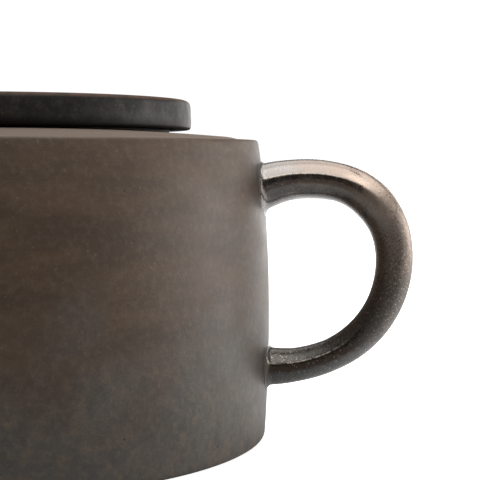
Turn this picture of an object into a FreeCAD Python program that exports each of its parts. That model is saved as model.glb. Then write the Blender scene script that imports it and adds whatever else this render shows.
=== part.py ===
import FreeCAD, Part
import math
import os

# A sugar bowl in dark stoneware: a thrown bowl with a flat shoulder, a loop
# handle luted to its wall, and a flat lid that lifts off.
# Millimetres. +Z is up, the bowl's axis is the Z axis, the foot stands on
# z = 0 and the handle points along +X.

# --- driving dimensions of the bowl ---------------------------------------
BELLY_RADIUS = 55.85          # the widest ring of the outer wall
BELLY_HEIGHT = 24.5
LOWER_WALL_CURVE = 330.0      # radius of the wall's slow swell, seen in section
UPPER_WALL_CURVE = 166.0      # above this the wall draws in a little faster
UPPER_WALL_START = 46.0
SHOULDER_EDGE_HEIGHT = 61.05
FOOT_EDGE_ROUND = 0.6
SHOULDER_EDGE_ROUND = 0.7

# The shoulder rises gently inwards, with one soft step left by the throwing.
STEP_OUTER_RADIUS = 50.0
STEP_OUTER_HEIGHT = 61.24
STEP_INNER_RADIUS = 47.5
STEP_INNER_HEIGHT = 61.68
STEP_SOFTNESS = 0.45          # share of the step's width taken by each of its curves

# The collar is a low raised seat that carries the lid.
COLLAR_RADIUS = 35.0
COLLAR_FOOT_HEIGHT = 62.38
COLLAR_HEIGHT = 63.25
COLLAR_EDGE_ROUND = 0.3
MOUTH_RADIUS = 31.5
MOUTH_EDGE_ROUND = 0.7
MOUTH_UNDERSIDE_ROUND = 1.0

WALL_THICKNESS = 4.0
FLOOR_HEIGHT = 5.5            # top of the floor inside
SHOULDER_THICKNESS = 4.2
INNER_FLOOR_ROUND = 7.0
INNER_SHOULDER_ROUND = 5.0
FOOT_RING_WIDTH = 8.5
FOOT_RECESS_DEPTH = 1.3
FOOT_RECESS_ROUND = 0.8

# --- driving dimensions of the handle -------------------------------------
# The centre line starts just inside the wall's outer face, climbing at
# BLANK_CLIMB degrees. It bends down through arcs that run on from each other,
# each (radius, degrees turned), and ends inside the wall again.
BLANK_START_RADIUS = 52.3
BLANK_START_HEIGHT = 50.57
BLANK_CLIMB = 25.9
HANDLE_ARCS = [(26.6, 37.7), (14.9, 67.7), (21.4, 76.3), (29.4, 31.3)]
# Rod diameters at the start, then at the middle and the end of each arc. The
# rod was pulled thinner towards its lower end and swells a little at each root.
ROD_DIAMETERS = [9.9, 8.35, 8.0, 8.3, 7.8, 7.2, 6.85, 7.25, 8.6]
ROOT_FILLET = 1.0             # slip smoothed round each joint
LUTING_GAP = 0.02             # film of slip between the handle and the wall
ROOT_ZONE = 3.0               # the joints lie within this of the belly radius
SMALLEST_SEAM = 1.0

# --- driving dimensions of the lid ----------------------------------------
LID_RADIUS = 39.55
LID_TOP_RADIUS = 39.3
LID_FOOT_RADIUS = 39.45
LID_BULGE_HEIGHT = 1.8        # of the widest ring above the lid's underside
LID_THICKNESS = 5.98
LID_TOP_ROUND = 1.15
LID_FOOT_ROUND = 0.6
FLANGE_CLEARANCE = 1.0        # radial play of the flange in the mouth
FLANGE_WIDTH = 3.6
FLANGE_DEPTH = 6.0
FLANGE_EDGE_ROUND = 1.0
FLANGE_ROOT_ROUND = 1.2

SAME_PLACE = 0.01             # rings closer than this count as the same


def point(radius, height):
    """A point of a section drawn in the XZ plane."""
    return FreeCAD.Vector(radius, 0, height)


def line(start, end):
    return Part.LineSegment(start, end).toShape()


def arc(start, middle, end):
    return Part.Arc(start, middle, end).toShape()


def turned(edges):
    """The solid that a closed section makes when it turns round the Z axis.

    Its seam line is put on the -X side, away from the handle.
    """
    axis_foot = FreeCAD.Vector(0, 0, 0)
    axis = FreeCAD.Vector(0, 0, 1)
    solid = Part.Face(Part.Wire(edges)).revolve(axis_foot, axis, 360)
    return solid.rotated(axis_foot, axis, 180)


def rounded(solid, size, *rings):
    """The solid with its circular edges at those (radius, height) rounded."""
    chosen = []
    for edge in solid.Edges:
        if not isinstance(edge.Curve, Part.Circle):
            continue
        centre = edge.Curve.Center
        for radius, height in rings:
            same_radius = abs(edge.Curve.Radius - radius) < SAME_PLACE
            same_height = abs(centre.z - height) < SAME_PLACE
            on_axis = math.hypot(centre.x, centre.y) < SAME_PLACE
            if same_radius and same_height and on_axis:
                chosen.append(edge)
    if len(chosen) != len(rings):
        raise ValueError(f"{len(chosen)} edges found for the rings {rings}")
    return solid.makeFillet(size, chosen)


def lower_wall(height, inset=0.0):
    """Radius of the wall below UPPER_WALL_START. A positive inset is the inner face."""
    curve = LOWER_WALL_CURVE - inset
    drop = curve - math.sqrt(curve**2 - (height - BELLY_HEIGHT) ** 2)
    return BELLY_RADIUS - inset - drop


def upper_wall(height, inset=0.0):
    """Radius of the wall above UPPER_WALL_START, touching the lower curve there."""
    lean = math.asin((UPPER_WALL_START - BELLY_HEIGHT) / LOWER_WALL_CURVE)
    curve = UPPER_WALL_CURVE - inset
    centre_height = UPPER_WALL_START - UPPER_WALL_CURVE * math.sin(lean)
    centre_radius = lower_wall(UPPER_WALL_START) - UPPER_WALL_CURVE * math.cos(lean)
    return centre_radius + math.sqrt(curve**2 - (height - centre_height) ** 2)


def wall_edges(bottom, top, inset=0.0):
    """The two touching arcs of one face of the wall, from bottom to top."""
    def low(height):
        return point(lower_wall(height, inset), height)

    def high(height):
        return point(upper_wall(height, inset), height)

    # The inner face changes curve a little lower, square to the wall.
    lean = math.asin((UPPER_WALL_START - BELLY_HEIGHT) / LOWER_WALL_CURVE)
    change = UPPER_WALL_START - inset * math.sin(lean)
    join = low(change)
    return [
        arc(low(bottom), low((bottom + change) / 2), join),
        arc(join, high((change + top) / 2), high(top)),
    ]


def shoulder_edges(corner):
    """The top of the shoulder from its outer corner in to the collar's foot."""
    outer = point(STEP_OUTER_RADIUS, STEP_OUTER_HEIGHT)
    inner = point(STEP_INNER_RADIUS, STEP_INNER_HEIGHT)
    collar_foot = point(COLLAR_RADIUS, COLLAR_FOOT_HEIGHT)
    reach = (STEP_OUTER_RADIUS - STEP_INNER_RADIUS) * STEP_SOFTNESS
    outer_slope = (outer.z - corner.z) / (corner.x - outer.x)
    inner_slope = (collar_foot.z - inner.z) / (inner.x - collar_foot.x)
    step = Part.BezierCurve()
    step.setPoles(
        [
            outer,
            point(outer.x - reach, outer.z + reach * outer_slope),
            point(inner.x + reach, inner.z - reach * inner_slope),
            inner,
        ]
    )
    return [line(corner, outer), step.toShape(), line(inner, collar_foot)]


def outer_bowl():
    """The bowl's outside as a solid with no hollow."""
    corner = point(upper_wall(SHOULDER_EDGE_HEIGHT), SHOULDER_EDGE_HEIGHT)
    edges = [line(point(0, 0), point(lower_wall(0), 0))]
    edges += wall_edges(0, SHOULDER_EDGE_HEIGHT)
    edges += shoulder_edges(corner)
    edges += [
        line(point(COLLAR_RADIUS, COLLAR_FOOT_HEIGHT), point(COLLAR_RADIUS, COLLAR_HEIGHT)),
        line(point(COLLAR_RADIUS, COLLAR_HEIGHT), point(0, COLLAR_HEIGHT)),
        line(point(0, COLLAR_HEIGHT), point(0, 0)),
    ]
    solid = turned(edges)
    solid = rounded(solid, FOOT_EDGE_ROUND, (lower_wall(0), 0))
    solid = rounded(solid, SHOULDER_EDGE_ROUND, (corner.x, corner.z))
    collar_rings = [(COLLAR_RADIUS, COLLAR_FOOT_HEIGHT), (COLLAR_RADIUS, COLLAR_HEIGHT)]
    return rounded(solid, COLLAR_EDGE_ROUND, *collar_rings)


def bowl_hollow():
    """The space inside the bowl, up through the mouth."""
    ceiling = COLLAR_HEIGHT - SHOULDER_THICKNESS
    ceiling_edge = SHOULDER_EDGE_HEIGHT - SHOULDER_THICKNESS
    wall_top = upper_wall(ceiling_edge, WALL_THICKNESS)
    wall_foot = lower_wall(FLOOR_HEIGHT, WALL_THICKNESS)
    edges = [line(point(0, FLOOR_HEIGHT), point(wall_foot, FLOOR_HEIGHT))]
    edges += wall_edges(FLOOR_HEIGHT, ceiling_edge, WALL_THICKNESS)
    edges += [
        line(point(wall_top, ceiling_edge), point(MOUTH_RADIUS, ceiling)),
        line(point(MOUTH_RADIUS, ceiling), point(MOUTH_RADIUS, COLLAR_HEIGHT)),
        line(point(MOUTH_RADIUS, COLLAR_HEIGHT), point(0, COLLAR_HEIGHT)),
        line(point(0, COLLAR_HEIGHT), point(0, FLOOR_HEIGHT)),
    ]
    solid = turned(edges)
    solid = rounded(solid, INNER_FLOOR_ROUND, (wall_foot, FLOOR_HEIGHT))
    solid = rounded(solid, INNER_SHOULDER_ROUND, (wall_top, ceiling_edge))
    return rounded(solid, MOUTH_UNDERSIDE_ROUND, (MOUTH_RADIUS, ceiling))


def foot_recess():
    """The shallow turned hollow under the floor that leaves the foot ring."""
    radius = lower_wall(0) - FOOT_RING_WIDTH
    blank = Part.makeCylinder(radius, FOOT_RECESS_DEPTH)
    return rounded(blank, FOOT_RECESS_ROUND, (radius, FOOT_RECESS_DEPTH))


def make_bowl():
    bowl = outer_bowl().cut(bowl_hollow()).cut(foot_recess())
    return rounded(bowl, MOUTH_EDGE_ROUND, (MOUTH_RADIUS, COLLAR_HEIGHT))


def handle_centre_line():
    """The arcs of the centre line, and (point, direction) at each arc's ends and middle."""
    climb = math.radians(BLANK_CLIMB)
    here = point(BLANK_START_RADIUS, BLANK_START_HEIGHT)
    heading = FreeCAD.Vector(math.cos(climb), 0, math.sin(climb))
    edges = []
    stations = [(here, heading)]
    for radius, degrees in HANDLE_ARCS:
        centre = here + FreeCAD.Vector(heading.z, 0, -heading.x) * radius
        half_turn = FreeCAD.Rotation(FreeCAD.Vector(0, 1, 0), degrees / 2)
        halfway = centre + half_turn.multVec(here - centre)
        half_heading = half_turn.multVec(heading)
        end = centre + half_turn.multVec(halfway - centre)
        edges.append(arc(here, halfway, end))
        here = end
        heading = half_turn.multVec(half_heading)
        stations += [(halfway, half_heading), (here, heading)]
    return edges, stations


def rod_section(station, diameter):
    """A circle square to the handle's centre line."""
    centre, heading = station
    ring = Part.Wire(Part.makeCircle(diameter / 2))
    tilt = math.degrees(math.atan2(heading.x, heading.z))
    ring.Placement = FreeCAD.Placement(centre, FreeCAD.Rotation(FreeCAD.Vector(0, 1, 0), tilt))
    return ring


def wall_core(inset):
    """A solid drum with only the wall's outer face, to join and trim the handle against."""
    edges = [line(point(0, 0), point(lower_wall(0, inset), 0))]
    edges += wall_edges(0, SHOULDER_EDGE_HEIGHT, inset)
    edges += [
        line(point(upper_wall(SHOULDER_EDGE_HEIGHT, inset), SHOULDER_EDGE_HEIGHT),
             point(0, SHOULDER_EDGE_HEIGHT)),
        line(point(0, SHOULDER_EDGE_HEIGHT), point(0, 0)),
    ]
    return turned(edges)


def is_root_seam(edge):
    """True for the edges where the rod meets the wall."""
    box = edge.BoundBox
    at_wall = BELLY_RADIUS - ROOT_ZONE < box.XMin and box.XMax < BELLY_RADIUS + ROOT_ZONE
    return at_wall and SMALLEST_SEAM < box.YLength < 2 * max(ROD_DIAMETERS)


def make_handle():
    edges, stations = handle_centre_line()
    sweep = Part.BRepOffsetAPI.MakePipeShell(Part.Wire(edges))
    for station, diameter in zip(stations, ROD_DIAMETERS):
        sweep.add(rod_section(station, diameter))
    sweep.build()
    sweep.makeSolid()
    joined = wall_core(0).fuse(sweep.shape())
    seams = [edge for edge in joined.Edges if is_root_seam(edge)]
    smoothed = joined.makeFillet(ROOT_FILLET, seams)
    return smoothed.cut(wall_core(-LUTING_GAP)).Solids[0]


def lid_disc():
    underside = COLLAR_HEIGHT
    top = underside + LID_THICKNESS
    foot = point(LID_FOOT_RADIUS, underside)
    widest = point(LID_RADIUS, underside + LID_BULGE_HEIGHT)
    brim = point(LID_TOP_RADIUS, top)
    disc = turned(
        [
            line(point(0, underside), foot),
            arc(foot, widest, brim),
            line(brim, point(0, top)),
            line(point(0, top), point(0, underside)),
        ]
    )
    disc = rounded(disc, LID_TOP_ROUND, (LID_TOP_RADIUS, top))
    return rounded(disc, LID_FOOT_ROUND, (LID_FOOT_RADIUS, underside))


def lid_flange():
    """The ring under the lid that drops into the mouth and keeps the lid centred."""
    outer = MOUTH_RADIUS - FLANGE_CLEARANCE
    inner = outer - FLANGE_WIDTH
    foot = COLLAR_HEIGHT - FLANGE_DEPTH
    at_foot = FreeCAD.Vector(0, 0, foot)
    ring = Part.makeCylinder(outer, FLANGE_DEPTH, at_foot)
    ring = ring.cut(Part.makeCylinder(inner, FLANGE_DEPTH, at_foot))
    return rounded(ring, FLANGE_EDGE_ROUND, (outer, foot), (inner, foot))


def make_lid():
    lid = lid_disc().fuse(lid_flange()).removeSplitter()
    inner = MOUTH_RADIUS - FLANGE_CLEARANCE - FLANGE_WIDTH
    return rounded(lid, FLANGE_ROOT_ROUND, (inner, COLLAR_HEIGHT)).Solids[0]


def export(shape, node):
    shape.exportStep(f"parts/{node}.step")
    print(node, "valid", shape.isValid(), "solids", len(shape.Solids), "volume", round(shape.Volume))


os.makedirs("parts", exist_ok=True)
export(make_bowl().Solids[0], "bowl")
export(make_handle(), "handle")
export(make_lid(), "lid")
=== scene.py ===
"""Sugar bowl in dark stoneware: the looks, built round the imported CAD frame.

Metres, +Z up, the bowl's axis on Z, the foot on z = 0 and the handle towards +X.
"""
import math

import bpy
import numpy as np
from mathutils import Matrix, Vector, noise


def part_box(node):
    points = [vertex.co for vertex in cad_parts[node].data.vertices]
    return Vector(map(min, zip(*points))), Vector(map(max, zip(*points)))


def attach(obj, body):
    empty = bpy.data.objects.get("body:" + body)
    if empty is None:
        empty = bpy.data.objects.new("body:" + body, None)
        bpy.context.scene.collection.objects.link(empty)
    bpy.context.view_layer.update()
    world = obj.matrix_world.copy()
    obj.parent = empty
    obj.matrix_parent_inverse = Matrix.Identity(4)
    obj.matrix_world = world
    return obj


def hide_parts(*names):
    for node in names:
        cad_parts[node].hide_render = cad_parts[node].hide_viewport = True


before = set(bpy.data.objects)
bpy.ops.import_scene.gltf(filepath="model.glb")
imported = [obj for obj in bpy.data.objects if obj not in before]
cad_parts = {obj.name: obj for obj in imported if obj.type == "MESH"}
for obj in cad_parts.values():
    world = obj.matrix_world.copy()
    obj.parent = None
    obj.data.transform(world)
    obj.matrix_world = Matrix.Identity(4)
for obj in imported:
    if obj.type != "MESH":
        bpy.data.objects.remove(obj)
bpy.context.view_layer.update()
MM = 0.001

# --- sizes read from the frame ----------------------------------------------
bowl_low, bowl_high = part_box("bowl")
lid_low, lid_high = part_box("lid")
BELLY_RADIUS = -bowl_low.x
COLLAR_HEIGHT = bowl_high.z
LID_RADIUS = -lid_low.x
LID_UNDERSIDE = COLLAR_HEIGHT
LID_TOP = lid_high.z
FLANGE_FOOT = lid_low.z

# --- how fine the meshes are -------------------------------------------------
BOWL_SPACING = 0.8 * MM
LID_SPACING = 0.6 * MM
# points on a rounding lie closer together than that, by this factor
ROUNDING_SPACING = 0.35
WALL_POINTS = 40
INNER_WALL_POINTS = 30
STEP_POINTS = 9
LID_SIDE_POINTS = 9
TURNED_SIDES = 288
ROD_STEPS = 90
ROD_SIDES = 144
ROOT_POINTS = 12

# --- the bowl's section ------------------------------------------------------
BELLY_HEIGHT = 24.5 * MM
LOWER_WALL_CURVE = 330 * MM
UPPER_WALL_CURVE = 166 * MM
UPPER_WALL_START = 46 * MM
SHOULDER_EDGE_HEIGHT = COLLAR_HEIGHT - 2.2 * MM
SHOULDER_EDGE_ROUND = 0.7 * MM
FOOT_EDGE_ROUND = 0.6 * MM
STEP_OUTER = (50 * MM, COLLAR_HEIGHT - 2.01 * MM)
STEP_INNER = (47.5 * MM, COLLAR_HEIGHT - 1.57 * MM)
COLLAR_FOOT = (35 * MM, COLLAR_HEIGHT - 0.87 * MM)
COLLAR_ROUND = 0.3 * MM
MOUTH_RADIUS = 31.5 * MM
MOUTH_ROUND = 0.7 * MM
WALL_THICKNESS = 4 * MM
FLOOR_HEIGHT = 5.5 * MM
SHOULDER_THICKNESS = 4.2 * MM
INNER_FLOOR_ROUND = 7 * MM
INNER_SHOULDER_ROUND = 5 * MM
MOUTH_FOOT_ROUND = 1 * MM
FOOT_RECESS_RADIUS = 46.4 * MM
FOOT_RECESS_DEPTH = 1.3 * MM
FOOT_RECESS_ROUND = 0.8 * MM
FOOT_INNER_ROUND = 0.3 * MM
# how far the throwing marks reach into the clay, and how large they are
THROWING_MARKS = 0.10 * MM
THROWING_RING_PITCH = 2.2 * MM
THROWING_WOBBLE_SIZE = 24 * MM
THROWING_RING_SHARE = 0.45
THROWING_STILL_RADIUS = 10 * MM
# the shoulder's inner part stands a little higher on one side
HIGH_SIDE_LIFT = 0.62 * MM
HIGH_SIDE_ANGLE = math.radians(-73.5)
HIGH_SIDE_START = 51 * MM
HIGH_SIDE_FULL = 43 * MM

# --- the handle's centre line, from its upper end inside the wall ----------------
# its first climb in degrees, then touching arcs of (radius, degrees turned)
BLANK_START = (52.3 * MM, 50.57 * MM)
BLANK_CLIMB = 25.9
HANDLE_ARCS = [(26.6 * MM, 37.7), (14.9 * MM, 67.7), (21.4 * MM, 76.3), (29.4 * MM, 31.3)]
# rod diameters at the ends and middles of those arcs
ROD_DIAMETERS = [v * MM for v in (9.9, 8.35, 8.0, 8.3, 7.8, 7.2, 6.85, 7.25, 8.6)]
# fillets where the rod is luted to the wall, wider on the near side and uneven all round
ROOT_FILLET = 1.0 * MM
ROOT_SMEAR = 0.4
ROOT_UNEVENNESS = 0.3
ROOT_SINK = 0.4 * MM
ROOT_SINK_TURN = 20
# lumps of the pulled clay: depth and size
ROD_LUMPS = (0.035 * MM, 6 * MM)
FINE_LUMPS = (0.008 * MM, 1.4 * MM)
# soft ridge along the rod's sides: height, then rise, reach and bluntness as shares of the radius
RIDGE = 0.17 * MM
RIDGE_RISE = 0.27
RIDGE_WIDTH = 0.2
RIDGE_TIP = 0.04

# --- the lid's section ---------------------------------------------------------
LID_BRIM_INSET = 0.25 * MM
LID_FOOT_INSET = 0.1 * MM
# where the disc is widest and where its side is plain, as shares of its thickness
LID_WIDEST = 0.3
LID_SIDE = (0.15, 0.77)
LID_TOP_ROUND = 1.15 * MM
LID_FOOT_ROUND = 0.6 * MM
FLANGE_RADIUS = 30.5 * MM
FLANGE_INNER_RADIUS = 26.9 * MM
FLANGE_ROUND = 1.0 * MM
FLANGE_INNER_ROOT = 1.2 * MM
FLANGE_OUTER_ROOT = 0.3 * MM
LID_THROWING_MARKS = 0.06 * MM

# --- camera: distances in metres, angles in degrees, lens and sensor in millimetres --
CAMERA_AZIMUTH = 16.5
CAMERA_DISTANCE = 0.2679
CAMERA_HEIGHT = 0.0572
CAMERA_TURN = 10.69
CAMERA_TILT = -3.66
CAMERA_LENS = 94.8
CAMERA_SENSOR = 36
CAMERA_NEAREST = 0.01

# --- light: watts of each softbox by its elevation (arch) or azimuth (the others) ----
ARCH_WATTS = {45: 0.95, 65: 1.0, 85: 1.1, 105: 0.7, 125: 0.8}
CANOPY_WATTS = {42: 0.4, 76: 0.5, 110: 0.55}
CANOPY_ELEVATION = 50
SIDE_WATTS = {60: 0.4, 80: 1.0, 100: 2.4, 120: 0.4, 145: 1.3, 165: 0.8}
# softbox sizes in metres
ARCH_SIZE = (0.7, 0.28)
CANOPY_SIZE = (0.5, 0.3)
SIDE_SIZE = (0.3, 0.45)
OVERHEAD_COLOUR = (1.0, 0.97, 0.94)
SIDE_COLOUR = (1.0, 0.98, 0.96)
SOFTBOX_DISTANCE = 0.8
SOFTBOX_AIM = (0.03, 0, 0.04)
ROOM_COLOUR = (1.0, 0.985, 0.97, 1)
WHITE = (1, 1, 1, 1)
FRONT_LIGHT = 0.04
BACK_LIGHT = 0.165
BACKDROP_GLOW = 1.05
FLOOR_GLOW = 0.85
FLOOR_HALF_SIDE = 1.5
# the floor's own glow grows to this between two distances, in millimetres, towards this azimuth
SWEEP_GLOW = 1.0
SWEEP_AZIMUTH = 128
SWEEP_ZONE = (20, 80)


def studio(azimuth, elevation):
    """Unit vector out from the bowl: azimuth 0 to the camera, 90 to its right."""
    a = math.radians(azimuth + CAMERA_AZIMUTH)
    e = math.radians(elevation)
    return Vector((math.sin(a) * math.cos(e), -math.cos(a) * math.cos(e), math.sin(e)))


def soft_step(t):
    """t from 0 to 1, with a soft start and end."""
    return t * t * (3 - 2 * t)


# --- outlines --------------------------------------------------------------------
def rounded_outline(corners, spacing):
    """An outline of (radius, height) corners, each with its rounding, as closely spaced points."""
    points = []
    count = len(corners)
    pieces = []
    for i, (r, z, rounding) in enumerate(corners):
        here = np.array([r, z])
        if rounding == 0 or i in (0, count - 1):
            pieces.append([here])
            continue
        before = np.array(corners[i - 1][:2]) - here
        after = np.array(corners[i + 1][:2]) - here
        before /= np.hypot(*before)
        after /= np.hypot(*after)
        half = math.acos(np.clip(before @ after, -1, 1)) / 2
        reach = rounding / math.tan(half)
        bisector = (before + after) / np.hypot(*(before + after))
        centre = here + bisector * rounding / math.sin(half)
        first, last = here + before * reach - centre, here + after * reach - centre
        a = math.atan2(first[1], first[0])
        b = math.atan2(last[1], last[0])
        sweep = (b - a + math.pi) % (2 * math.pi) - math.pi
        steps = max(4, int(abs(sweep) * rounding / (spacing * ROUNDING_SPACING)))
        pieces.append([centre + rounding * np.array([math.cos(a + sweep * t), math.sin(a + sweep * t)])
                       for t in np.linspace(0, 1, steps + 1)])
    for piece in pieces:
        if points:
            gap = piece[0] - points[-1]
            steps = max(1, int(np.hypot(*gap) / spacing))
            points += [points[-1] + gap * t / steps for t in range(1, steps)]
        points += piece
    return points


def lower_wall(height, inset=0.0):
    """Radius of the lower of the wall's two arcs."""
    curve = LOWER_WALL_CURVE - inset
    return BELLY_RADIUS - inset - curve + math.sqrt(curve**2 - (height - BELLY_HEIGHT) ** 2)


def wall(height, inset=0.0):
    """Radius of the wall's outer face, or of its inner face with a positive inset."""
    lean = math.asin((UPPER_WALL_START - BELLY_HEIGHT) / LOWER_WALL_CURVE)
    if height < UPPER_WALL_START - inset * math.sin(lean):
        return lower_wall(height, inset)
    centre_height = UPPER_WALL_START - UPPER_WALL_CURVE * math.sin(lean)
    centre_radius = lower_wall(UPPER_WALL_START) - UPPER_WALL_CURVE * math.cos(lean)
    curve = UPPER_WALL_CURVE - inset
    return centre_radius + math.sqrt(curve**2 - (height - centre_height) ** 2)


def shoulder_step():
    """The soft step on the shoulder, as points from its outer end to its inner one."""
    points = []
    for t in np.linspace(0, 1, STEP_POINTS):
        r = STEP_OUTER[0] + (STEP_INNER[0] - STEP_OUTER[0]) * t
        z = STEP_OUTER[1] + (STEP_INNER[1] - STEP_OUTER[1]) * soft_step(t)
        points.append((r, z, 0))
    return points


def bowl_outline():
    """The bowl's closed section, from the axis under the foot round to the axis on the floor."""
    heights = np.linspace(0, SHOULDER_EDGE_HEIGHT, WALL_POINTS)
    ceiling_edge = SHOULDER_EDGE_HEIGHT - SHOULDER_THICKNESS
    corners = [
        (0, FOOT_RECESS_DEPTH, 0),
        (FOOT_RECESS_RADIUS, FOOT_RECESS_DEPTH, FOOT_RECESS_ROUND),
        (FOOT_RECESS_RADIUS, 0, FOOT_INNER_ROUND),
        (wall(0), 0, FOOT_EDGE_ROUND),
    ]
    corners += [(wall(h), h, 0) for h in heights[1:-1]]
    corners += [(wall(SHOULDER_EDGE_HEIGHT), SHOULDER_EDGE_HEIGHT, SHOULDER_EDGE_ROUND)]
    corners += shoulder_step()
    corners += [
        (COLLAR_FOOT[0], COLLAR_FOOT[1], COLLAR_ROUND),
        (COLLAR_FOOT[0], COLLAR_HEIGHT, COLLAR_ROUND),
        (MOUTH_RADIUS, COLLAR_HEIGHT, MOUTH_ROUND),
        (MOUTH_RADIUS, COLLAR_HEIGHT - SHOULDER_THICKNESS, MOUTH_FOOT_ROUND),
        (wall(ceiling_edge, WALL_THICKNESS), ceiling_edge, INNER_SHOULDER_ROUND),
    ]
    # the inner wall's own points keep clear of the roundings at both its ends
    inner_top = ceiling_edge - INNER_SHOULDER_ROUND - 1 * MM
    inner_foot = FLOOR_HEIGHT + INNER_FLOOR_ROUND + 2 * MM
    inner = np.linspace(inner_top, inner_foot, INNER_WALL_POINTS)
    corners += [(wall(h, WALL_THICKNESS), h, 0) for h in inner]
    corners += [
        (wall(FLOOR_HEIGHT, WALL_THICKNESS), FLOOR_HEIGHT, INNER_FLOOR_ROUND),
        (0, FLOOR_HEIGHT, 0),
    ]
    return rounded_outline(corners, BOWL_SPACING)


def lid_side():
    """The slightly bulging side of the lid's disc, between its two rounded edges."""
    points = []
    for t in np.linspace(*LID_SIDE, LID_SIDE_POINTS):
        below = max(0, LID_WIDEST - t) / LID_WIDEST
        above = max(0, t - LID_WIDEST) / (1 - LID_WIDEST)
        r = LID_RADIUS - LID_FOOT_INSET * below**2 - LID_BRIM_INSET * above**2
        points.append((r, LID_UNDERSIDE + (LID_TOP - LID_UNDERSIDE) * t, 0))
    return points


def lid_outline():
    """The lid's closed section, from the axis on its underside round to the axis on top."""
    corners = [
        (0, LID_UNDERSIDE, 0),
        (FLANGE_INNER_RADIUS, LID_UNDERSIDE, FLANGE_INNER_ROOT),
        (FLANGE_INNER_RADIUS, FLANGE_FOOT, FLANGE_ROUND),
        (FLANGE_RADIUS, FLANGE_FOOT, FLANGE_ROUND),
        (FLANGE_RADIUS, LID_UNDERSIDE, FLANGE_OUTER_ROOT),
        (LID_RADIUS - LID_FOOT_INSET, LID_UNDERSIDE, LID_FOOT_ROUND),
    ]
    corners += lid_side()
    corners += [(LID_RADIUS - LID_BRIM_INSET, LID_TOP, LID_TOP_ROUND), (0, LID_TOP, 0)]
    return rounded_outline(corners, LID_SPACING)


# --- mesh making -------------------------------------------------------------------
def new_object(name, vertices, faces):
    """A smooth mesh object in the scene."""
    mesh = bpy.data.meshes.new(name)
    mesh.from_pydata([tuple(v) for v in vertices], [], faces)
    mesh.polygons.foreach_set("use_smooth", [True] * len(mesh.polygons))
    mesh.validate()
    made = bpy.data.objects.new(name, mesh)
    bpy.context.scene.collection.objects.link(made)
    return made


def lathe(name, outline, around, shift):
    """A closed turned solid. shift(position) returns each vertex with its small hand-made offset."""
    vertices = [Vector((0, 0, outline[0][1]))]
    for r, z in outline[1:-1]:
        for k in range(around):
            a = 2 * math.pi * k / around
            vertices.append(shift(Vector((r * math.cos(a), r * math.sin(a), z))))
    vertices.append(Vector((0, 0, outline[-1][1])))
    rings = len(outline) - 2
    last = len(vertices) - 1
    faces = []
    for k in range(around):
        n = (k + 1) % around
        faces.append((0, 1 + n, 1 + k))
        top = 1 + (rings - 1) * around
        faces.append((last, top + k, top + n))
        for i in range(rings - 1):
            a, b = 1 + i * around, 1 + (i + 1) * around
            faces.append((a + k, a + n, b + n, b + k))
    return new_object(name, vertices, faces)


def thrown(strength):
    """Moves points onto a wheel-thrown surface: faint rings and a slow wobble, always inwards."""
    def shift(p):
        radius = math.hypot(p.x, p.y)
        ring = noise.noise(Vector((0.3, 0.7, p.z / THROWING_RING_PITCH)))
        wobble = noise.noise(Vector((p.x, p.y, p.z)) / THROWING_WOBBLE_SIZE)
        inward = strength * (1 + THROWING_RING_SHARE * ring + (1 - THROWING_RING_SHARE) * wobble) / 2
        scale = 1 - inward / max(radius, THROWING_STILL_RADIUS)
        return Vector((p.x * scale, p.y * scale, p.z))
    return shift


def bowl_surface(strength):
    """The thrown surface, with the shoulder's inner part standing a little higher on one side."""
    surface = thrown(strength)

    def shift(p):
        radius = math.hypot(p.x, p.y)
        moved = surface(p)
        if radius < COLLAR_FOOT[0] - COLLAR_ROUND or p.z < SHOULDER_EDGE_HEIGHT:
            return moved
        inner = np.clip((HIGH_SIDE_START - radius) / (HIGH_SIDE_START - HIGH_SIDE_FULL), 0, 1)
        below_rim = np.clip((COLLAR_HEIGHT - p.z) / (COLLAR_HEIGHT - COLLAR_FOOT[1]), 0, 1)
        facing = max(0, math.cos(math.atan2(p.y, p.x) - HIGH_SIDE_ANGLE))
        moved.z += HIGH_SIDE_LIFT * facing**2 * soft_step(inner) * below_rim
        return moved
    return shift


def handle_path(steps_each):
    """Stations of the rod, from its upper end to its lower one: (x, z, heading, rod radius)."""
    climb = math.radians(BLANK_CLIMB)
    x, z = BLANK_START
    path = []
    for index, (radius, degrees) in enumerate(HANDLE_ARCS):
        sweep = math.radians(degrees)
        cx, cz = x + radius * math.sin(climb), z - radius * math.cos(climb)
        for step in range(steps_each + (index == len(HANDLE_ARCS) - 1)):
            t = step / steps_each
            heading = climb - sweep * t
            place = 2 * (index + t)
            diameter = np.interp(place, range(len(ROD_DIAMETERS)), ROD_DIAMETERS)
            at_x, at_z = cx - radius * math.sin(heading), cz + radius * math.cos(heading)
            path.append((at_x, at_z, heading, diameter / 2))
        heading = climb - sweep
        x, z = cx - radius * math.sin(heading), cz + radius * math.cos(heading)
        climb = heading
    return path


def wall_distance(p):
    """How far a point stands off the bowl's outer wall."""
    return math.hypot(p.x, p.y) - wall(p.z)


def wall_normal(p):
    """Outward unit normal of the bowl's outer wall beside a point."""
    tiny = 0.01 * MM
    lean = (wall(p.z + tiny) - wall(p.z - tiny)) / (2 * tiny)
    radius = math.hypot(p.x, p.y)
    return Vector((p.x / radius, p.y / radius, -lean)).normalized()


def rod_point(station, a):
    """Where the rod's surface is at one station of the path, and the spoke that leads there."""
    x, z, heading, radius = station
    outward = Vector((-math.sin(heading), 0, math.cos(heading)))
    spoke = outward * math.cos(a) + Vector((0, math.sin(a), 0))
    p = Vector((x, 0, z)) + spoke * radius
    raised = 0
    for depth, size in (ROD_LUMPS, FINE_LUMPS):
        raised += depth * (noise.noise(p / size) - 1)
    across = math.hypot(spoke.z - RIDGE_RISE, RIDGE_TIP)
    raised += RIDGE * math.cos(heading) ** 2 * (math.exp(-across / RIDGE_WIDTH) - 0.5)
    return p + spoke * raised, spoke


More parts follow.
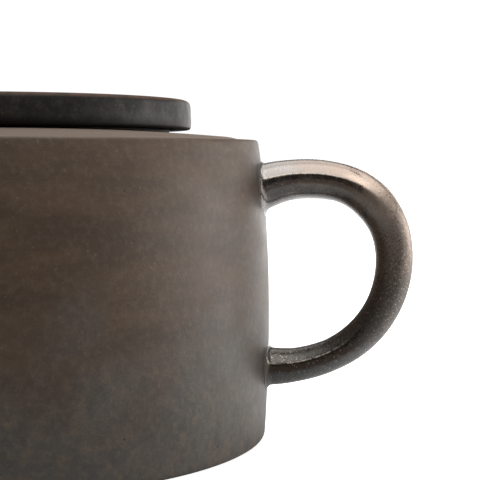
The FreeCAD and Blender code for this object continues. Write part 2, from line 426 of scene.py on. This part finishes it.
def between_stations(path, place, a):
    """The rod's surface at a place between two stations of the path, and the spoke of the first."""
    low = min(int(place), len(path) - 2)
    start, spoke = rod_point(path[low], a)
    end, _ = rod_point(path[low + 1], a)
    return start.lerp(end, place - low), spoke


def root_curve(path, stands, a, fillet):
    """One line of the luted joint: from inside the wall, out of it and round the fillet onto the rod.

    stands says how far each station of the path stands off the wall. Returned with the line's points
    is the place on the path where it ends.
    """
    points = []
    for turn in np.linspace(-ROOT_SINK_TURN, 90, ROOT_POINTS):
        theta = math.radians(turn)
        off = fillet * (1 - math.cos(theta)) if turn > 0 else -ROOT_SINK * (turn / ROOT_SINK_TURN) ** 2
        spread = fillet * (1 - math.sin(theta)) if turn > 0 else fillet
        place = np.interp(off, stands, range(len(stands)))
        p, spoke = between_stations(path, place, a)
        normal = wall_normal(p)
        along = (spoke - normal * spoke.dot(normal)).normalized()
        points.append(p + along * spread)
    return points, place


def rod_line(path, a):
    """One line along the whole rod at angle a: upper root, loop and lower root."""
    half = len(path) // 2
    uneven = ROOT_UNEVENNESS * noise.noise(Vector((2 * math.cos(a), 2 * math.sin(a), 0.4)))
    fillet = ROOT_FILLET * (1 + uneven + ROOT_SMEAR * max(0, -math.sin(a)) ** 2)
    stands = [wall_distance(rod_point(station, a)[0]) for station in path]
    upper, first = root_curve(path[:half], stands[:half], a, fillet)
    lower, from_end = root_curve(path[::-1][:half], stands[::-1][:half], a, fillet)
    last = len(path) - 1 - from_end
    shares = np.linspace(0, 1, ROD_STEPS * 2)[1:-1]
    middle = [between_stations(path, first + (last - first) * t, a)[0] for t in shares]
    return upper + middle + lower[::-1]


def rod_mesh(name, around):
    """The handle: a bent rod, swept line by line, whose ends sink a little into the wall."""
    path = handle_path(ROD_STEPS)
    lines = [rod_line(path, 2 * math.pi * k / around) for k in range(around)]
    count = len(lines[0])
    vertices = [lines[k][i] for i in range(count) for k in range(around)]
    faces = []
    for i in range(count - 1):
        a, b = i * around, (i + 1) * around
        for k in range(around):
            n = (k + 1) % around
            faces.append((a + k, a + n, b + n, b + k))
    faces.append(tuple(range(around))[::-1])
    end = (count - 1) * around
    faces.append(tuple(end + k for k in range(around)))
    return new_object(name, vertices, faces)


# --- node trees ----------------------------------------------------------------------
class NodeTree:
    """A few short calls for building a tree of shader nodes."""

    def __init__(self, tree):
        self.tree = tree
        self.tree.nodes.clear()

    def add(self, kind, **settings):
        """A new node with these settings."""
        node = self.tree.nodes.new(kind)
        for key, value in settings.items():
            setattr(node, key, value)
        return node

    def link(self, source, target):
        self.tree.links.new(source, target)

    def plug(self, target, value):
        """Set a socket to a number or colour, or link another node's output to it."""
        if isinstance(value, (int, float, tuple)):
            target.default_value = value
        else:
            self.link(value, target)

    def math(self, operation, a, b):
        node = self.add("ShaderNodeMath", operation=operation)
        self.plug(node.inputs[0], a)
        self.plug(node.inputs[1], b)
        return node.outputs[0]

    def plus(self, a, b):
        return self.math("ADD", a, b)

    def minus(self, a, b):
        return self.math("SUBTRACT", a, b)

    def times(self, a, b):
        return self.math("MULTIPLY", a, b)

    def larger(self, a, b):
        return self.math("MAXIMUM", a, b)

    def span(self, value, low, high, to_low, to_high, smooth=True):
        """value from low..high brought to to_low..to_high."""
        node = self.add("ShaderNodeMapRange", interpolation_type="SMOOTHSTEP" if smooth else "LINEAR")
        self.link(value, node.inputs["Value"])
        for key, number in (("From Min", low), ("From Max", high), ("To Min", to_low), ("To Max", to_high)):
            node.inputs[key].default_value = number
        return node.outputs[0]

    def mix(self, share, a, b):
        """Colour a, with that share of colour b over it."""
        node = self.add("ShaderNodeMix", data_type="RGBA")
        self.plug(node.inputs["Factor"], share)
        self.plug(node.inputs["A"], (*a, 1) if isinstance(a, tuple) else a)
        self.plug(node.inputs["B"], (*b, 1) if isinstance(b, tuple) else b)
        return node.outputs["Result"]

    def along(self, vector, direction):
        """How far a vector reaches in a direction."""
        node = self.add("ShaderNodeVectorMath", operation="DOT_PRODUCT")
        self.link(vector, node.inputs[0])
        node.inputs[1].default_value = direction
        return node.outputs["Value"]

    def for_camera(self, seen, otherwise):
        """One shader that the camera sees, and another for the light that reaches the scene."""
        path = self.add("ShaderNodeLightPath")
        choose = self.add("ShaderNodeMixShader")
        self.link(path.outputs["Is Camera Ray"], choose.inputs[0])
        self.link(otherwise, choose.inputs[1])
        self.link(seen, choose.inputs[2])
        return choose.outputs[0]


class Nodes(NodeTree):
    """A material, with patterns and places in millimetres."""

    def __init__(self, name):
        self.material = bpy.data.materials.new(name)
        self.material.use_nodes = True
        super().__init__(self.material.node_tree)
        self.output = self.add("ShaderNodeOutputMaterial")
        self.shader = self.add("ShaderNodeBsdfPrincipled")
        self.link(self.shader.outputs[0], self.output.inputs["Surface"])
        scaled = self.add("ShaderNodeVectorMath", operation="SCALE")
        self.link(self.add("ShaderNodeTexCoord").outputs["Object"], scaled.inputs[0])
        scaled.inputs["Scale"].default_value = 1 / MM
        self.place = scaled.outputs[0]

    def cells(self, kind, size, stretch, shift):
        """A texture node of that kind whose cells are size millimetres, stretched and moved."""
        mapping = self.add("ShaderNodeMapping")
        self.link(self.place, mapping.inputs["Vector"])
        mapping.inputs["Scale"].default_value = tuple(1 / (size * s) for s in stretch)
        mapping.inputs["Location"].default_value = shift
        texture = self.add(kind)
        self.link(mapping.outputs[0], texture.inputs["Vector"])
        texture.inputs["Scale"].default_value = 1.0
        return texture

    def noise(self, size, detail=3, rough=0.5, stretch=(1, 1, 1), offset=0.0):
        """Cloudy noise whose lumps are about size millimetres, from 0 to 1."""
        texture = self.cells("ShaderNodeTexNoise", size, stretch, (offset, offset * 1.7, offset * 0.6))
        texture.inputs["Detail"].default_value = detail
        texture.inputs["Roughness"].default_value = rough
        return texture.outputs[0]

    def spread(self, cloud, to_low, to_high):
        """A noise, most of which lies between 0.3 and 0.7, brought to to_low..to_high."""
        return self.span(cloud, 0.3, 0.7, to_low, to_high)

    def specks(self, size, share, offset=0.0):
        """Small round specks in a share of the cells of that size: 1 in a speck, 0 elsewhere."""
        texture = self.cells("ShaderNodeTexVoronoi", size, (1, 1, 1), (offset, offset, offset))
        # from a speck's soft edge to its full core, as shares of its cell
        inside = self.span(texture.outputs["Distance"], 0.42, 0.18, 0, 1)
        parts = self.add("ShaderNodeSeparateColor")
        self.link(texture.outputs["Color"], parts.inputs[0])
        chosen = self.span(parts.outputs[0], share, share * 0.8, 0, 1)
        return self.times(inside, chosen)

    def part_of(self, vector, axis):
        """One of a vector's three parts."""
        parts = self.add("ShaderNodeSeparateXYZ")
        self.link(vector, parts.inputs[0])
        return parts.outputs[axis]

    def height(self):
        """Height above the foot."""
        return self.part_of(self.place, "Z")

    def along_x(self):
        """Distance towards the handle."""
        return self.part_of(self.place, "X")

    def off_axis(self):
        """Distance from the Z axis."""
        flat = self.add("ShaderNodeVectorMath", operation="MULTIPLY")
        self.link(self.place, flat.inputs[0])
        flat.inputs[1].default_value = (1, 1, 0)
        length = self.add("ShaderNodeVectorMath", operation="LENGTH")
        self.link(flat.outputs[0], length.inputs[0])
        return length.outputs["Value"]

    def near(self, centre, reach, strength):
        """That strength at a centre in metres, fading out over a reach in millimetres."""
        apart = self.add("ShaderNodeVectorMath", operation="DISTANCE")
        self.link(self.place, apart.inputs[0])
        apart.inputs[1].default_value = tuple(c / MM for c in centre)
        wavy = self.plus(apart.outputs["Value"], self.spread(self.noise(3, 3), -2, 2))
        return self.span(wavy, reach * 0.35, reach, strength, 0)

    def upward(self):
        """How much the surface faces up: 1 up, 0 sideways, -1 down."""
        return self.part_of(self.add("ShaderNodeTexCoord").outputs["Normal"], "Z")

    def facing_down(self):
        """1 where the surface faces well down, 0 where it faces up or sideways."""
        return self.span(self.upward(), 0.1, -0.5, 0, 1)

    def slope_band(self, slope, core, edge):
        """1 where upward() is within core of slope, fading to 0 at edge from it."""
        off = self.math("ABSOLUTE", self.minus(self.upward(), slope), 0)
        return self.span(off, core, edge, 1, 0)

    def bump(self, *layers):
        """layers are (height, depth in millimetres, strength), coarse first."""
        normal = None
        for height, depth, strength in layers:
            node = self.add("ShaderNodeBump")
            self.link(height, node.inputs["Height"])
            node.inputs["Distance"].default_value = depth * MM
            node.inputs["Strength"].default_value = strength
            if normal is not None:
                self.link(normal, node.inputs["Normal"])
            normal = node.outputs[0]
        self.link(normal, self.shader.inputs["Normal"])

    def finish(self, colour, roughness):
        self.link(colour, self.shader.inputs["Base Color"])
        self.link(roughness, self.shader.inputs["Roughness"])
        return self.material


# --- the bowl's stoneware ------------------------------------------------------------
# from here to the lid's material, heights and distances from the axis are in millimetres
COOL_TO_WARM = (8, 37)
DRY_WALL = (46, 58)
SHOULDER_START = (SHOULDER_EDGE_HEIGHT / MM - 0.3, SHOULDER_EDGE_HEIGHT / MM + 0.1)
LID_OVERHANG_SHADE_RING = (37.5, 36)
ROOT_SHADOW_REACH = 15
WARM_CLAYS = ((0.087, 0.058, 0.039), (0.139, 0.087, 0.053))
COOL_CLAYS = ((0.101, 0.097, 0.090), (0.153, 0.144, 0.131))
LIGHT_CLOUD = (0.187, 0.117, 0.076)
BLUSH = (0.200, 0.152, 0.120)
STAIN = (0.060, 0.060, 0.058)
FLECK = (0.243, 0.183, 0.135)
DARK_GRAIN = (0.062, 0.050, 0.041)
PALE_SPECK = (0.33, 0.25, 0.19)
PIT = (0.03, 0.025, 0.02)
ROOT_SHADOW = (0.030, 0.029, 0.028)
SHOULDER_PAINTED_LIGHT = (0.250, 0.193, 0.155)
SHADED_COLLAR = (0.004, 0.004, 0.003)


def bowl_clay(n, coolness, bands, clouds, mottle):
    """Warm clay above and cool clay below, with bands, clouds, blushes, flecks and stains."""
    warm = n.mix(n.spread(bands, 0, 1), *WARM_CLAYS)
    cool = n.mix(n.noise(7, 4, 0.6, offset=31), *COOL_CLAYS)
    colour = n.mix(coolness, warm, cool)
    colour = n.mix(n.span(clouds, 0.50, 0.80, 0, 0.3), colour, LIGHT_CLOUD)
    blush = n.times(n.span(n.noise(3.4, 3, 0.6, offset=41), 0.48, 0.66, 0, 0.6), coolness)
    colour = n.mix(blush, colour, BLUSH)
    flecks = n.times(n.span(mottle, 0.42, 0.72, 0, 0.5), n.span(coolness, 0, 1, 0.5, 1))
    colour = n.mix(flecks, colour, FLECK)
    stain = n.times(n.span(n.noise(2.8, 3, 0.6, offset=53), 0.50, 0.68, 0, 0.35), coolness)
    return n.mix(stain, colour, STAIN)


def bowl_grain(n, colour, grain):
    """Dark grain, pale specks and a few pits."""
    colour = n.mix(n.span(grain, 0.30, 0.75, 0, 0.4), colour, DARK_GRAIN)
    colour = n.mix(n.times(n.specks(0.6, 0.05), 0.25), colour, PALE_SPECK)
    return n.mix(n.specks(0.9, 0.001, offset=3), colour, PIT)


def bowl_places(n, colour, shoulder):
    """Painted shade round the handle's roots and under the lid's overhang, and painted light on the
    shoulder's top face.
    """
    path = handle_path(1)
    # painted shade: the wall darkened round each of the handle's two roots
    for x, z, *_ in (path[0], path[-1]):
        colour = n.mix(n.near((x, 0, z), ROOT_SHADOW_REACH, 0.6), colour, ROOT_SHADOW)
    # painted light: the shoulder's upward face made paler, as if lit from above
    colour = n.mix(n.times(shoulder, 0.75), colour, SHOULDER_PAINTED_LIGHT)
    # painted shade: the collar and inner shoulder under the lid's overhang turned near black
    lid_overhang_shade = n.times(shoulder, n.span(n.off_axis(), *LID_OVERHANG_SHADE_RING, 0, 0.9))
    return n.mix(lid_overhang_shade, colour, SHADED_COLLAR)


def bowl_material():
    """Matte stoneware: warm brown above, cooler charcoal below, drier at the top of the wall."""
    n = Nodes("bowl_stoneware")
    bands = n.noise(4.5, 4, 0.6, stretch=(4, 4, 1))
    clouds = n.noise(6, 4, 0.6, stretch=(1.8, 1.8, 1), offset=5)
    mottle = n.noise(1.3, 3, 0.6, offset=19)
    grain = n.noise(0.35, 2, 0.7, offset=12)
    drift = n.plus(n.height(), n.spread(n.noise(16, 2, offset=7), -9, 9))
    coolness = n.span(drift, *COOL_TO_WARM, 1, 0)
    shoulder = n.span(n.height(), *SHOULDER_START, 0, 1)
    colour = bowl_clay(n, coolness, bands, clouds, mottle)
    colour = bowl_grain(n, colour, grain)
    colour = bowl_places(n, colour, shoulder)
    roughness = n.plus(n.spread(clouds, 0.50, 0.42), n.span(n.height(), *DRY_WALL, 0, 0.09))
    roughness = n.plus(roughness, n.times(shoulder, 0.11))
    n.bump((bands, 0.18, 0.25), (mottle, 0.10, 0.5), (grain, 0.05, 0.5))
    n.shader.inputs["Specular IOR Level"].default_value = 0.5
    return n.finish(colour, roughness)


# --- the handle's glaze --------------------------------------------------------------
DULL_TO_SHINY = (22, 56)
LOWER_RUN = (18, 26)
OUTER_RUN = (72, 81)
OUTER_RUN_TOP = (47, 40)
BEND = (70, 76)
BEND_HEIGHT = (41, 48)
# the slip at the roots ends this far from the axis, at these two heights
SLIP_HEIGHTS = (15, 52)
SLIP_EDGES = (55.65, 54.75)
SHINES = ((0.370, 0.306, 0.269), (0.520, 0.420, 0.362))
ROOT_SHINE = (0.430, 0.422, 0.414)
BEND_SHINE = (0.690, 0.560, 0.470)
DULLS = ((0.090, 0.087, 0.084), (0.150, 0.144, 0.137))
UNDERSIDE_PAINTED_REFLECTION = (0.192, 0.198, 0.201)
OUTER_BROWN = (0.130, 0.095, 0.070)
LIGHT_GRAINS = ((0.40, 0.37, 0.34), (0.56, 0.42, 0.33))
GLAZE_DARK_GRAIN = (0.07, 0.062, 0.055)
PAINTED_DARK_REFLECTION = (0.075, 0.044, 0.028)
PAINTED_RIDGE_HIGHLIGHT = (0.85, 0.76, 0.66)
SPARKLE = (0.80, 0.64, 0.52)
SLIP = (0.115, 0.104, 0.094)


def handle_base(n, high, outer, from_wall):
    """Dull glaze below and shiny glaze above, browner on the outer run, and a painted slate-grey reflection
    on the faces that point down.
    """
    shine = n.mix(n.noise(4, 4, 0.6), *SHINES)
    shine = n.mix(n.span(from_wall, 56, 72, 0.85, 0), shine, ROOT_SHINE)
    bend = n.times(n.span(n.off_axis(), *BEND, 0, 0.6), n.span(n.height(), *BEND_HEIGHT, 0, 1))
    shine = n.mix(bend, shine, BEND_SHINE)
    dull = n.mix(n.noise(3, 4, 0.6, offset=33), *DULLS)
    colour = n.mix(high, dull, shine)
    # painted reflection: faces that point down given a flat slate grey
    under = n.times(n.facing_down(), n.span(n.noise(3, 3, offset=45), 0.3, 0.6, 0.5, 0.9))
    colour = n.mix(under, colour, UNDERSIDE_PAINTED_REFLECTION)
    brown = n.times(outer, n.span(n.height(), *OUTER_RUN_TOP, 0, 0.4))
    return n.mix(brown, colour, OUTER_BROWN)


def handle_grain(n, colour, high, outer, grain):
    """Light and dark grain, strongest low down and on the outer run."""
    strength = n.larger(n.span(high, 0, 1, 0.55, 0.32), n.times(outer, 0.85))
    light = n.times(n.span(grain, 0.50, 0.78, 0, 1), strength)
    colour = n.mix(light, colour, n.mix(high, *LIGHT_GRAINS))
    dark = n.times(n.span(grain, 0.45, 0.30, 0, 1), strength)
    return n.mix(dark, colour, GLAZE_DARK_GRAIN)


def painted_reflection_stripe(n, high, low_run):
    """Painted dark reflection: a black stripe along the rod's sideways-facing flanks, just below its ridge.
    """
    stripe = n.times(n.slope_band(-0.02, 0.12, 0.30), n.span(n.off_axis(), 82, 70, 0, 0.75))
    stripe = n.times(stripe, n.span(n.noise(1.6, 3, 0.6, offset=71), 0.3, 0.6, 0.75, 1))
    return n.times(stripe, n.larger(high, low_run))


def painted_ridge_highlight(n):
    """Painted highlight: a pale line along the rod's ridge."""
    ridge_highlight = n.times(n.slope_band(RIDGE_RISE, 0.06, 0.13), n.span(n.off_axis(), 75, 66, 0, 0.9))
    return n.times(ridge_highlight, n.span(n.noise(0.9, 3, 0.6, offset=61), 0.35, 0.55, 0.2, 1))


def sparkles(n, high, outer, from_wall):
    """Fine bright specks, most of them at the roots, low down and on the outer run."""
    amount = n.larger(n.span(from_wall, 57, 74, 0.5, 0.14), n.span(high, 0, 0.5, 0.4, 0))
    amount = n.larger(amount, n.times(outer, 0.55))
    return n.times(n.specks(0.42, 0.22, offset=9), amount)


def root_slip(n, low_run):
    """The dull slip that lutes the roots to the wall, with an uneven edge, wider at the lower root."""
    edge = n.span(n.height(), *SLIP_HEIGHTS, *SLIP_EDGES, smooth=False)
    uneven = n.plus(n.minus(n.off_axis(), edge), n.spread(n.noise(1.5, 2), -0.25, 0.25))
    return n.span(n.minus(uneven, n.times(low_run, 0.4)), -0.1, 0.2, 1, 0)


def handle_roughness(n, grain, mottle, drift, outer, slip):
    """Satin above, a little rougher below, and dry on the outer run and the slip."""
    roughness = n.plus(n.span(grain, 0.3, 0.8, 0.17, 0.30), n.spread(mottle, -0.03, 0.05))
    roughness = n.plus(roughness, n.span(drift, 14, 45, 0.05, 0))
    roughness = n.plus(roughness, n.times(outer, 0.2))
    return n.plus(roughness, n.span(slip, 0, 1, 0, 0.2))


def handle_material():
    """Dark iron glaze with a metallic sheen, brightest over the loop's top, dull below and at the roots."""
    n = Nodes("handle_stoneware")
    grain = n.noise(0.33, 2, 0.7, offset=4)
    mottle = n.noise(1.1, 3, 0.6, offset=14)
    from_wall = n.plus(n.off_axis(), n.spread(n.noise(5, 2, offset=21), -4, 4))
    drift = n.plus(n.height(), n.spread(n.noise(7, 2, offset=27), -3, 3))
    high = n.span(drift, *DULL_TO_SHINY, 0, 1)
    low_run = n.span(n.height(), *LOWER_RUN, 1, 0)
    outer = n.span(n.off_axis(), *OUTER_RUN, 0, 1)
    ridge_highlight = painted_ridge_highlight(n)
    slip = root_slip(n, low_run)
    colour = handle_base(n, high, outer, from_wall)
    colour = handle_grain(n, colour, high, outer, grain)
    # painted dark reflection along the rod's flanks
    colour = n.mix(painted_reflection_stripe(n, high, low_run), colour, PAINTED_DARK_REFLECTION)
    # painted highlight along the rod's ridge
    colour = n.mix(ridge_highlight, colour, PAINTED_RIDGE_HIGHLIGHT)
    colour = n.mix(sparkles(n, high, outer, from_wall), colour, SPARKLE)
    colour = n.mix(slip, colour, SLIP)
    n.bump((n.noise(2.6, 2, offset=2), 0.16, 0.25), (mottle, 0.06, 0.3), (grain, 0.04, 0.45))
    # metal taken off on the slip, and on the painted ridge highlight of the lower run
    slip_and_ridge_highlight = n.larger(slip, n.times(n.times(ridge_highlight, low_run), 0.8))
    n.link(n.span(slip_and_ridge_highlight, 0, 1, 0.92, 0.1), n.shader.inputs["Metallic"])
    return n.finish(colour, handle_roughness(n, grain, mottle, drift, outer, slip))


# --- the lid's stoneware -------------------------------------------------------------
LID_TOP_EDGE = (LID_TOP / MM - 0.85, LID_TOP / MM - 0.35)
LID_WORN_RING = (LID_RADIUS / MM - 1.9, LID_RADIUS / MM - 0.9)
LID_SHADED_FOOT = (LID_UNDERSIDE / MM + 0.4, LID_UNDERSIDE / MM + 2.2)
CHARCOALS = ((0.012, 0.0118, 0.0110), (0.031, 0.0294, 0.0269))
ASH_CLOUD = (0.058, 0.052, 0.045)
ASH_PATCH = (0.070, 0.061, 0.051)
LID_GRAIN = (0.006, 0.0057, 0.0054)
LID_SPECK = (0.085, 0.070, 0.056)
WORN_CLAY = (0.11, 0.060, 0.038)
LID_SHADOW = (0.002, 0.002, 0.002)


def worn_edge(n):
    """The ring of the lid's top edge where the surface thins, most of all towards the handle."""
    worn = n.times(n.span(n.height(), *LID_TOP_EDGE, 0, 1), n.span(n.off_axis(), *LID_WORN_RING, 0, 1))
    worn = n.times(worn, n.span(n.noise(3, 2, offset=9), 0.3, 0.6, 0.45, 1))
    return n.times(worn, n.span(n.along_x(), -15, 25, 0.15, 1))


def lid_material():
    """Matte charcoal, with the clay showing brown where the surface thins on the top edge."""
    n = Nodes("lid_stoneware")
    clouds = n.noise(4, 4, 0.65, offset=2)
    grain = n.noise(0.35, 2, 0.7, offset=6)
    colour = n.mix(n.noise(6, 4, 0.6, offset=17), *CHARCOALS)
    colour = n.mix(n.span(clouds, 0.38, 0.74, 0, 0.8), colour, ASH_CLOUD)
    patches = n.noise(1.7, 4, 0.65, offset=23)
    colour = n.mix(n.span(patches, 0.50, 0.68, 0, 0.45), colour, ASH_PATCH)
    colour = n.mix(n.span(grain, 0.35, 0.75, 0, 0.5), colour, LID_GRAIN)
    colour = n.mix(n.times(n.specks(0.9, 0.05, offset=5), 0.4), colour, LID_SPECK)
    colour = n.mix(worn_edge(n), colour, WORN_CLAY)
    # painted shade: the lid's side darkened towards its underside
    colour = n.mix(n.span(n.height(), *LID_SHADED_FOOT, 0.9, 0), colour, LID_SHADOW)
    n.bump((n.noise(2.2, 2, offset=3), 0.12, 0.25), (grain, 0.05, 0.5))
    n.shader.inputs["Specular IOR Level"].default_value = 0.22
    return n.finish(colour, n.spread(clouds, 0.56, 0.46))


# --- studio ---------------------------------------------------------------------------
def floor_material():
    """Pale card that the camera sees blown out to white, and that glows in one zone as a lit sweep."""
    n = Nodes("pale_floor")
    colour = n.mix(n.noise(60, 3), (0.36, 0.36, 0.36), (0.40, 0.40, 0.40))
    glow = n.add("ShaderNodeEmission")
    glow.inputs["Strength"].default_value = FLOOR_GLOW
    both = n.add("ShaderNodeAddShader")
    n.link(n.shader.outputs[0], both.inputs[0])
    n.link(glow.outputs[0], both.inputs[1])
    n.link(n.for_camera(both.outputs[0], n.shader.outputs[0]), n.output.inputs["Surface"])
    sweep = n.span(n.along(n.place, studio(SWEEP_AZIMUTH, 0)), *SWEEP_ZONE, 0, SWEEP_GLOW)
    n.shader.inputs["Emission Color"].default_value = WHITE
    n.link(sweep, n.shader.inputs["Emission Strength"])
    return n.finish(colour, n.spread(n.noise(20, 2), 0.6, 0.7))


def make_floor():
    """One large pale square under the bowl."""
    side = FLOOR_HALF_SIDE
    corners = [(-side, -side, 0), (side, -side, 0), (side, side, 0), (-side, side, 0)]
    floor = new_object("floor", corners, [(0, 1, 2, 3)])
    floor.data.materials.append(floor_material())


def make_world():
    """A bright sweep behind the bowl and a dim room in front of it. The camera sees plain white."""
    world = bpy.data.worlds.new("studio")
    bpy.context.scene.world = world
    world.use_nodes = True
    n = NodeTree(world.node_tree)
    output = n.add("ShaderNodeOutputWorld")
    light = n.add("ShaderNodeBackground")
    light.inputs["Color"].default_value = ROOM_COLOUR
    behind = n.along(n.add("ShaderNodeTexCoord").outputs["Generated"], studio(180, 0))
    n.link(n.span(behind, 0.1, 0.8, FRONT_LIGHT, BACK_LIGHT), light.inputs["Strength"])
    backdrop = n.add("ShaderNodeBackground")
    backdrop.inputs["Color"].default_value = WHITE
    backdrop.inputs["Strength"].default_value = BACKDROP_GLOW
    n.link(n.for_camera(backdrop.outputs[0], light.outputs[0]), output.inputs["Surface"])


def make_softbox(name, azimuth, elevation, size, watts, colour):
    """A rectangular lamp that shines on the bowl from one direction and that the camera can't see."""
    lamp = bpy.data.lights.new(name, "AREA")
    lamp.shape = "RECTANGLE"
    lamp.size, lamp.size_y = size
    lamp.energy = watts
    lamp.color = colour
    made = bpy.data.objects.new(name, lamp)
    bpy.context.scene.collection.objects.link(made)
    out = studio(azimuth, elevation)
    made.location = Vector(SOFTBOX_AIM) + out * SOFTBOX_DISTANCE
    made.rotation_mode = "QUATERNION"
    made.rotation_quaternion = (-out).to_track_quat("-Z", "Y")
    made.visible_camera = False


def make_lights():
    """An arch of softboxes over the bowl, a canopy to its right and a low row from its right to behind it."""
    for elevation, watts in ARCH_WATTS.items():
        make_softbox("arch_%d" % elevation, 0, elevation, ARCH_SIZE, watts, OVERHEAD_COLOUR)
    for azimuth, watts in CANOPY_WATTS.items():
        make_softbox("canopy_%d" % azimuth, azimuth, CANOPY_ELEVATION, CANOPY_SIZE, watts, OVERHEAD_COLOUR)
    for azimuth, watts in SIDE_WATTS.items():
        make_softbox("side_%d" % azimuth, azimuth, 0, SIDE_SIZE, watts, SIDE_COLOUR)


def make_camera():
    """The camera in front of the bowl, turned towards the handle and slightly down."""
    data = bpy.data.cameras.new("camera")
    data.lens = CAMERA_LENS
    data.sensor_width = CAMERA_SENSOR
    data.clip_start = CAMERA_NEAREST
    camera = bpy.data.objects.new("camera", data)
    bpy.context.scene.collection.objects.link(camera)
    place = studio(0, 0) * CAMERA_DISTANCE
    place.z = CAMERA_HEIGHT
    camera.location = place
    turn = math.radians(CAMERA_AZIMUTH - CAMERA_TURN)
    pitch = math.radians(CAMERA_TILT)
    look = Vector((-math.sin(turn) * math.cos(pitch), math.cos(turn) * math.cos(pitch), math.sin(pitch)))
    camera.rotation_mode = "QUATERNION"
    camera.rotation_quaternion = look.to_track_quat("-Z", "Y")
    bpy.context.scene.camera = camera


# --- pieces ----------------------------------------------------------------------------
def make_bowl():
    bowl = lathe("bowl_body", bowl_outline(), TURNED_SIDES, bowl_surface(THROWING_MARKS))
    bowl.data.materials.append(bowl_material())
    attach(bowl, "bowl")
    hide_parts("bowl")


def make_handle():
    handle = rod_mesh("loop_handle", ROD_SIDES)
    handle.data.materials.append(handle_material())
    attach(handle, "bowl")
    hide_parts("handle")


def make_lid():
    lid = lathe("flat_lid", lid_outline(), TURNED_SIDES, thrown(LID_THROWING_MARKS))
    lid.data.materials.append(lid_material())
    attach(lid, "lid")
    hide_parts("lid")


make_bowl()
make_handle()
make_lid()
make_floor()
make_world()
make_lights()
make_camera()
bpy.context.scene.view_settings.view_transform = "Standard"
